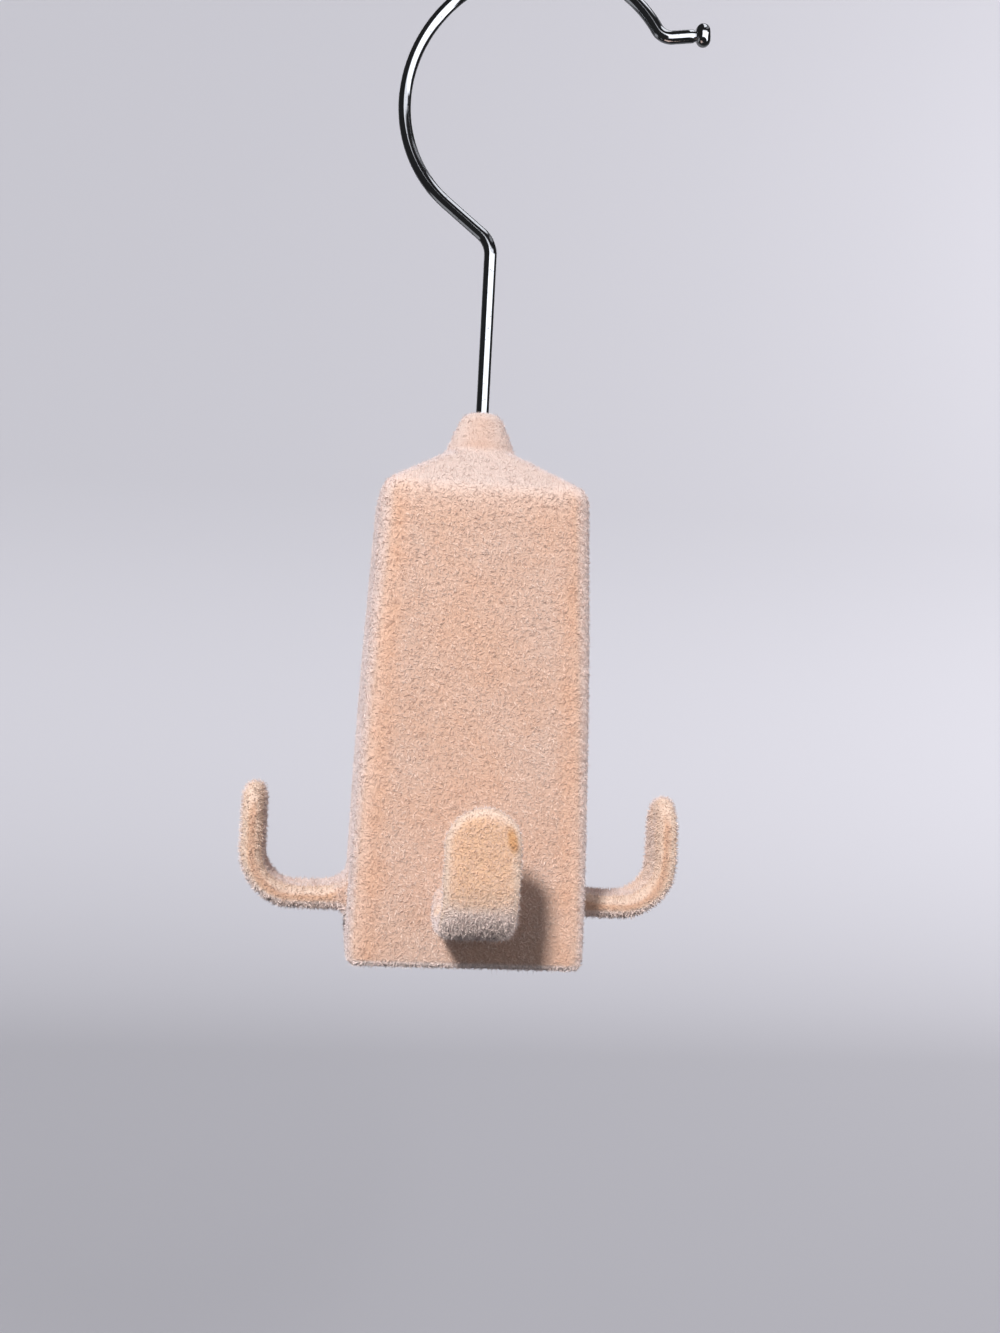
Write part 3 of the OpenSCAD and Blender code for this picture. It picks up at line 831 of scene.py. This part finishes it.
def run_tree(name, source, tree, inputs):
    """Runs a Geometry Nodes tree on an object and returns the result as a plain mesh object."""
    modifier = source.modifiers.new(name, "NODES")
    modifier.node_group = tree
    identifiers = {item.name: item.identifier for item in tree.interface.items_tree
                   if item.item_type == "SOCKET" and item.in_out == "INPUT"}
    for key, given in inputs.items():
        modifier[identifiers[key]] = given
    graph = bpy.context.evaluated_depsgraph_get()
    mesh = bpy.data.meshes.new_from_object(source.evaluated_get(graph))
    source.modifiers.remove(modifier)
    mesh.name = name
    print(name, len(mesh.polygons), "faces")
    return new_object(name, mesh)


# %% [markdown]
# The flock is grown in one piece for each face of the pillar and for each hook, so that no mesh is
# too heavy. The nap lies flatter and thinner on the roof. On the strap hooks at the sides and the
# rear it stands rougher, and on the front hook it is brushed down by use.

# %% Grow the flock


def part_of(source, keep):
    """A scratch copy of a surface with only the faces that a test keeps."""
    mesh = source.data
    kept = [p for p in mesh.polygons if keep(p)]
    copy = bpy.data.meshes.new("scratch")
    used = sorted({v for p in kept for v in p.vertices})
    index = {v: i for i, v in enumerate(used)}
    copy.from_pydata([mesh.vertices[v].co for v in used], [], [[index[v] for v in p.vertices] for p in kept])
    copy.shade_smooth()
    return new_object("scratch", copy)


def grow(name, source, keep, seed, inputs):
    """The fibres on the faces of a surface that a test keeps."""
    scratch = part_of(source, keep)
    grown = run_tree(name, scratch, FLOCK, {**inputs, "Seed": seed, "Material": FIBRE})
    bpy.data.objects.remove(scratch)
    return grown


ROOF_INPUTS = {"Strokes Density": 0.9e6, "Strokes Lean": 1.4, "Undercoat Density": 1.2e7}
WORN_HOOK_INPUTS = {"Strokes Density": 2.6e6, "Strokes Lean": 1.9, "Strays Density": 2.2e6,
                    "Strays Length": 1.1 * MM}
ROUGH_HOOK_INPUTS = {"Strokes Density": 2.2e6, "Strokes Lean": 1.1, "Strokes Width": 0.26 * MM,
                     "Strays Density": 2.6e6, "Strays Length": 1.1 * MM, "Strays Width": 0.13 * MM}
FOOT_INPUTS = {"Strokes Density": 2e6, "Strays Density": 0.0}
# The first seed of the pillar's zones, of the hooks, and of the foot
ZONE_SEED, HOOK_SEED, FOOT_SEED = 1, 11, 21

fibres = []
for seed, name in enumerate(ZONES[:5], ZONE_SEED):
    fibres.append(grow("pillar_flock_" + name, pillar_skin, lambda p: zone_of[p.index] == name, seed,
                       ROOF_INPUTS if name == "roof" else {}))
for seed, (node, skin) in enumerate(hook_skins.items(), HOOK_SEED):
    # The hook's end inside the pillar is the one face with more than four corners, and stays bare
    fibres.append(grow(node + "_flock", skin, lambda p: len(p.vertices) < 5, seed,
                       WORN_HOOK_INPUTS if node == "front_hook" else ROUGH_HOOK_INPUTS))
foot_z = to_frame([[0, 0, PILE + 0.2]])[0][2]
fibres.append(grow("foot_plate_flock", plate_skin, lambda p: p.center.z < foot_z, FOOT_SEED, FOOT_INPUTS))

# %% [markdown]
# The wire hook is one bent wire. Its path is straight lengths and arcs, worked out one after the
# other as a bending machine would make them, and Geometry Nodes sweep a circle along it. The
# circle's size changes along the way: the upset head at the foot of the stem, and the neck and
# the button at the tip.

# %% The path of the wire
HOOK_TURN = math.radians(-15)
WASHER_Z, HEAD_H, HEAD_R, HEAD_EDGE = 83.05, 1.7, 2.4, 0.3
STEM_TOP_Z = 131.6
# Radius and degrees of each turn, and the length of each straight run
BENDS = (("turn", 5.6, 50), ("run", 9.2), ("turn", 25.7, -50 - 149), ("turn", 3.4, 62), ("run", 4.2))
BUTTON_R, BUTTON_LEN = 2.1, 2.7
# How far before the button the wire is drawn in, and by how much
DRAWN_IN = ((-0.55, 0.0), (-0.4, 0.12), (-0.2, 0.16), (-0.02, 0.1))
SMOOTH_TURN = 2.0


def wire_path():
    """Points in the hook's plane (out, up) and the wire's radius at each."""
    out, up, heading = 0.0, WASHER_Z - HEAD_H, 0.0
    path = [(out, up, HEAD_R - HEAD_EDGE), (out, up + HEAD_EDGE, HEAD_R), (out, WASHER_Z - 0.002, HEAD_R),
            (out, WASHER_Z, WIRE_R)]
    path += [(0.0, z, WIRE_R) for z in np.linspace(WASHER_Z + 1, STEM_TOP_Z, 12)]
    up = STEM_TOP_Z
    for bend in BENDS:
        if bend[0] == "run":
            for _ in range(3):
                out -= math.sin(heading) * bend[1] / 3
                up += math.cos(heading) * bend[1] / 3
                path.append((out, up, WIRE_R))
            continue
        radius, degrees = bend[1], bend[2]
        steps = max(6, int(abs(degrees) / SMOOTH_TURN))
        step = math.radians(degrees) / steps
        chord = 2 * radius * math.sin(abs(step) / 2)
        for _ in range(steps):
            heading += step / 2
            out -= math.sin(heading) * chord
            up += math.cos(heading) * chord
            heading += step / 2
            path.append((out, up, WIRE_R))
    profile = [(along, WIRE_R - drawn) for along, drawn in DRAWN_IN]
    round_r = BUTTON_LEN / 2
    for t in np.radians(np.linspace(0, 180, 17)):
        profile.append((round_r - round_r * math.cos(t) + 0.001, BUTTON_R - round_r + round_r * math.sin(t)))
    path.pop()
    for along, radius in profile:
        path.append((out - math.sin(heading) * along, up + math.cos(heading) * along, radius))
    return path


path = wire_path()
c, s = math.cos(HOOK_TURN), math.sin(HOOK_TURN)
wire_points = to_frame([(a * c, a * s, z) for a, z, _ in path])
line = bpy.data.meshes.new("wire_line")
line.from_pydata([tuple(p) for p in wire_points], [(i, i + 1) for i in range(len(path) - 1)], [])
line.attributes.new("radius", "FLOAT", "POINT").data.foreach_set("value", [r * MM for _, _, r in path])
wire_line = new_object("wire_line", line)
print("wire", len(path), "stations, top at", round(float(wire_points[:, 2].max()), 5))

# %% [markdown]
# Chrome has hardly a colour of its own: it shows the room. The plating here is very smooth on the
# loop, with fine lengthwise drawing marks and a few specks where the plating is thin, so the
# roughness changes a little and a faint bump breaks up the brightest lines.

# %% Chrome, and the plated washer


def chrome_material():
    """Bright plating with drawing marks along the wire and a few thin specks."""
    material, tree, shader = new_material("bright_chrome", Metallic=1.0)
    place = tree.nodes.new("ShaderNodeTexCoord").outputs["Object"]
    stretched = add(tree, "ShaderNodeMapping", Vector=place, Scale=(1.0, 1.0, 0.15)).outputs[0]
    marks = add(tree, "ShaderNodeTexNoise", Vector=stretched, Scale=2600.0, Detail=3.0, Roughness=0.6)
    specks = add(tree, "ShaderNodeTexNoise", Vector=place, Scale=1900.0, Detail=2.0, Roughness=0.7)
    speck = ramp(tree, specks.outputs["Fac"], 0.62, 0.72)
    tree.links.new(mix(tree, speck, srgb(222, 224, 228), srgb(150, 154, 162)), shader.inputs["Base Color"])
    rough = maths(tree, "ADD", ramp(tree, marks.outputs["Fac"], 0.3, 0.75, 0.03, 0.10),
                  times(tree, speck, 0.12))
    tree.links.new(rough, shader.inputs["Roughness"])
    waves = add(tree, "ShaderNodeTexNoise", Vector=place, Scale=750.0, Detail=1.5)
    height = maths(tree, "MULTIPLY_ADD", waves.outputs["Fac"], 2.2, marks.outputs["Fac"])
    bump = add(tree, "ShaderNodeBump", Strength=0.16, Distance=0.02 * MM, Height=height)
    tree.links.new(bump.outputs[0], shader.inputs["Normal"])
    return material


def zinc_material():
    """Dull plating with a fine grain."""
    material, tree, shader = new_material("plated_washer", Metallic=1.0)
    place = tree.nodes.new("ShaderNodeTexCoord").outputs["Object"]
    grain = add(tree, "ShaderNodeTexNoise", Vector=place, Scale=1500.0, Detail=3.0)
    tree.links.new(mix(tree, grain.outputs["Fac"], srgb(150, 152, 156), srgb(188, 190, 192)),
                   shader.inputs["Base Color"])
    tree.links.new(ramp(tree, grain.outputs["Fac"], 0.3, 0.7, 0.3, 0.5), shader.inputs["Roughness"])
    return material


CHROME = chrome_material()
ZINC = zinc_material()

# %% A Geometry Nodes tree that sweeps the wire


def wire_tree():
    """A tree that sweeps a circle along the wire's path, as wide as the path's own radius."""
    inputs = [("Geometry", "Geometry"), ("Sides", "Int", 40), ("Material", "Material")]
    tree, start, end = new_group("sweep_wire", "Geometry", inputs, [("Geometry", "Geometry")])
    curve = add(tree, "GeometryNodeMeshToCurve", Mesh=start.outputs[0])
    circle = add(tree, "GeometryNodeCurvePrimitiveCircle", Resolution=start.outputs[1], Radius=1.0)
    radius = add(tree, "GeometryNodeInputNamedAttribute", set_data_type="FLOAT", Name="radius")
    swept = add(tree, "GeometryNodeCurveToMesh", Curve=curve.outputs[0], Profile_Curve=circle.outputs[0],
                Scale=radius.outputs[0], Fill_Caps=True)
    smooth = add(tree, "GeometryNodeSetShadeSmooth", Geometry=swept.outputs[0])
    real = add(tree, "GeometryNodeRealizeInstances", Geometry=smooth.outputs[0])
    dressed = add(tree, "GeometryNodeSetMaterial", Geometry=real.outputs[0], Material=start.outputs[2])
    tree.links.new(dressed.outputs[0], end.inputs[0])
    return tree


SWEEP = wire_tree()
wire_skin = run_tree("wire_hook_skin", wire_line, SWEEP, {"Material": CHROME})
bpy.data.objects.remove(wire_line)

# %% [markdown]
# Now each piece gets its material and the body that it moves with. The
# skins stand for the plain solids. The washer's solid is right as it is and only gets a finish.

# %% Dress the pieces and let them ride


def dress(piece, material, body):
    """Material, slot and body of a finished piece."""
    piece.data.materials.clear()
    piece.data.materials.append(material)
    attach(piece, body)


dress(wire_skin, CHROME, "hook")
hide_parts("hook_wire")
dress(pillar_skin, SKIN, "hanger")
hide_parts("body_shell")
dress(plate_skin, SKIN, "hanger")
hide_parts("bottom_cap")
for node, skin in hook_skins.items():
    dress(skin, SKIN, "hanger")
    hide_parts(node)
for piece in fibres:
    dress(piece, FIBRE, "hanger")
washer = frame["nodes"]["stem_washer"]
washer.data.materials.clear()
washer.data.materials.append(ZINC)

# %% [markdown]
# The stage is a plain pale floor that curves up into a backdrop, far enough away that the object
# throws no shadow on it.

# %% Floor and backdrop
FLOOR_Z, BACK_Y, BACK_TOP_Z, SWEEP_R, STAGE_HALF = -0.42, 1.3, 2.4, 0.5, 2.6


def stage_sheet():
    """A floor that turns up into a backdrop behind the object."""
    side = [(-STAGE_HALF, FLOOR_Z)] + [
        (BACK_Y - SWEEP_R + SWEEP_R * math.sin(a), FLOOR_Z + SWEEP_R - SWEEP_R * math.cos(a))
        for a in np.radians(np.linspace(0, 90, 13))] + [(BACK_Y, BACK_TOP_Z)]
    points = [(x, y, z) for y, z in side for x in (-STAGE_HALF, STAGE_HALF)]
    mesh = bpy.data.meshes.new("stage")
    mesh.from_pydata(points, [], [(2 * i, 2 * i + 1, 2 * i + 3, 2 * i + 2) for i in range(len(side) - 1)])
    mesh.shade_smooth()
    return new_object("stage", mesh)


stage = stage_sheet()
stage.data.materials.append(new_material("stage_paper", Base_Color=srgb(221, 220, 225), Roughness=0.9,
                                         Specular_IOR_Level=0.1)[0])
stage.visible_glossy = False
stage.visible_diffuse = False
stage.visible_shadow = False

# %% [markdown]
# A small soft lamp high on the left gives the hanger its shape and the front hook its shadow. Wide
# lamps at the sides and behind fill the rest, so that it looks right from every side. A low sun
# and one more lamp light the stage. Light linking keeps the two sets apart: what the stage needs
# would wash the flock out, and the lamps beside the hanger would burn a hole into the floor.

# %% Lights
MIDDLE = (-0.007, 0.0, -0.13)
# Name: place, diameter, power, colour
HANGER_LAMPS = {"key": ((-0.30, -0.70, 0.31), 0.13, 9.3, srgb(255, 250, 246)),
                "side": ((-0.80, -0.10, -0.02), 0.7, 0.6, srgb(252, 248, 250)),
                "fill": ((0.82, -0.08, -0.02), 0.7, 3.7, srgb(255, 250, 248)),
                "behind": ((0.10, 0.80, 0.15), 0.6, 5.0, srgb(252, 250, 250))}
BACKDROP_LAMP = (1.3, 0.5, 0.5), 0.8, 4.3, srgb(252, 250, 254)
BACKDROP_TARGET, SUN_WAY = (0.3, 1.3, 0.0), (-0.2, 0.88, -0.42)


def new_light(name, kind, way, power, colour):
    """A light that shines a way."""
    data = bpy.data.lights.new(name, kind)
    data.energy = power
    data.color = colour[:3]
    light = new_object(name, data)
    light.rotation_euler = Vector(way).to_track_quat("-Z", "Y").to_euler()
    return light


def lamp(name, target, place, diameter, power, colour):
    """A round lamp that looks at a target and doesn't show in reflections."""
    light = new_light(name, "AREA", Vector(target) - Vector(place), power, colour)
    light.data.shape = "DISK"
    light.data.size = diameter
    light.location = place
    light.visible_glossy = False
    return light


def link_to_stage(lights, state):
    """Lets lights shine on the stage alone, or on everything but the stage."""
    linked = bpy.data.collections.new("stage_" + state.lower())
    linked.objects.link(stage)
    linked.collection_objects[0].light_linking.link_state = state
    for light in lights:
        light.light_linking.receiver_collection = linked


lamps = [lamp(name, MIDDLE, *values) for name, values in HANGER_LAMPS.items()]
backdrop_lamp = lamp("backdrop_lamp", BACKDROP_TARGET, *BACKDROP_LAMP)
daylight = new_light("daylight", "SUN", SUN_WAY, 2.1, srgb(250, 250, 254))
daylight.data.angle = math.radians(30)
link_to_stage([backdrop_lamp, daylight], "INCLUDE")
link_to_stage(lamps, "EXCLUDE")
print("lights:", ", ".join([light.name for light in lamps] + [backdrop_lamp.name, daylight.name]))

# %% [markdown]
# Chrome is only as good as what it reflects. So the world shows reflections a dark room with a few
# bright openings, gives the flock the dim light of an even sky, and shows the eye a pale one.

# %% The world
SKY_LOW, SKY_HIGH, SKY_SEEN = 0.08, 0.30, 0.55
ROOM_DARK, GLOW_BEHIND = 0.02, 0.16
# From x, to x, from z, to z, softness, side, strength; the side is -1 before the object, 1 behind
# it and 0 for both
OPENINGS = {"tall panel": (-0.38, 0.92, -0.60, 0.34, 0.03, -1, 1.9),
            "panel head": (-0.30, 0.70, 0.34, 0.46, 0.04, -1, 1.1),
            "high panel": (0.05, 0.60, 0.86, 1.10, 0.02, 0, 1.1),
            "grey panel": (0.48, 0.78, 0.68, 0.80, 0.03, 0, 0.25),
            "low glow behind": (-0.92, -0.64, -0.56, -0.34, 0.03, 1, 0.3)}

world = bpy.data.worlds.new("room")
bpy.context.scene.world = world
world.use_nodes = True
tree = world.node_tree
tree.nodes.clear()
direction = tree.nodes.new("ShaderNodeTexCoord").outputs["Generated"]
x, y, z = add(tree, "ShaderNodeSeparateXYZ", Vector=direction).outputs


def opening(low_x, high_x, low_z, high_z, soft, side):
    """The mask of a soft rectangle in the directions around the object."""
    inside = 1.0
    for value, low, high in ((x, low_x, high_x), (z, low_z, high_z)):
        inside = times(tree, inside, ramp(tree, value, low - soft, low + soft))
        inside = times(tree, inside, ramp(tree, value, high - soft, high + soft, 1.0, 0.0))
    if side:
        inside = times(tree, inside, ramp(tree, times(tree, y, float(side)), -0.05, 0.05))
    return inside


glow = maths(tree, "MULTIPLY_ADD", ramp(tree, y, 0.55, 0.9), GLOW_BEHIND, ROOM_DARK)
for *edges, side, strength in OPENINGS.values():
    glow = maths(tree, "MULTIPLY_ADD", opening(*edges, side), strength, glow)
print("openings:", ", ".join(OPENINGS))
reflected = add(tree, "ShaderNodeBackground", Color=srgb(244, 245, 250), Strength=glow)
sky = add(tree, "ShaderNodeBackground", Color=srgb(236, 236, 242),
          Strength=ramp(tree, z, -0.7, 0.4, SKY_LOW, SKY_HIGH))
seen = add(tree, "ShaderNodeBackground", Color=srgb(236, 236, 242), Strength=SKY_SEEN)
ray = tree.nodes.new("ShaderNodeLightPath").outputs
far = add(tree, "ShaderNodeMixShader", i0=ray["Is Camera Ray"], i1=sky.outputs[0], i2=seen.outputs[0])
both = add(tree, "ShaderNodeMixShader", i0=ray["Is Glossy Ray"], i1=far.outputs[0], i2=reflected.outputs[0])
add(tree, "ShaderNodeOutputWorld", Surface=both.outputs[0])
bpy.context.scene.view_settings.view_transform = "Standard"
